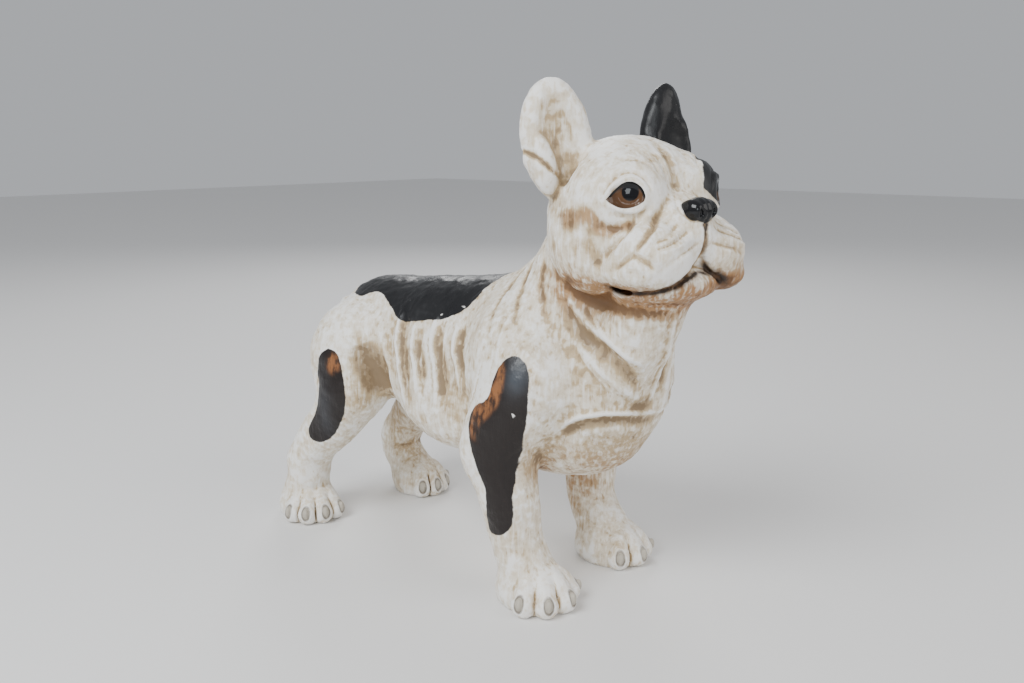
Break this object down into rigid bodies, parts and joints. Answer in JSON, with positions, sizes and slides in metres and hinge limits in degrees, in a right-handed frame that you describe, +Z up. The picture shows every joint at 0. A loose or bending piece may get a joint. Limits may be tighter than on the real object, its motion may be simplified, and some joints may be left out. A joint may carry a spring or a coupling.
{
  "type": "garden statue",
  "caption": "Standing French bulldog garden statue, cast and painted, with upright ears and its head turned aside, resting on four flat paws.",
  "frame": {"origin": "on the ground under the middle of the figure's bounding box", "axes": "+X to the figure's left across the shoulders, +Z up; the dog faces -Y"},
  "size_m": [0.1866, 0.4492, 0.4],
  "materials": {
    "painted_resin": "satin paint over cast resin, white with an ochre wash, with glossy black patches"
  },
  "bodies": {
    "root": {"bulldog": "painted_resin"}
  },
  "joints": []
}
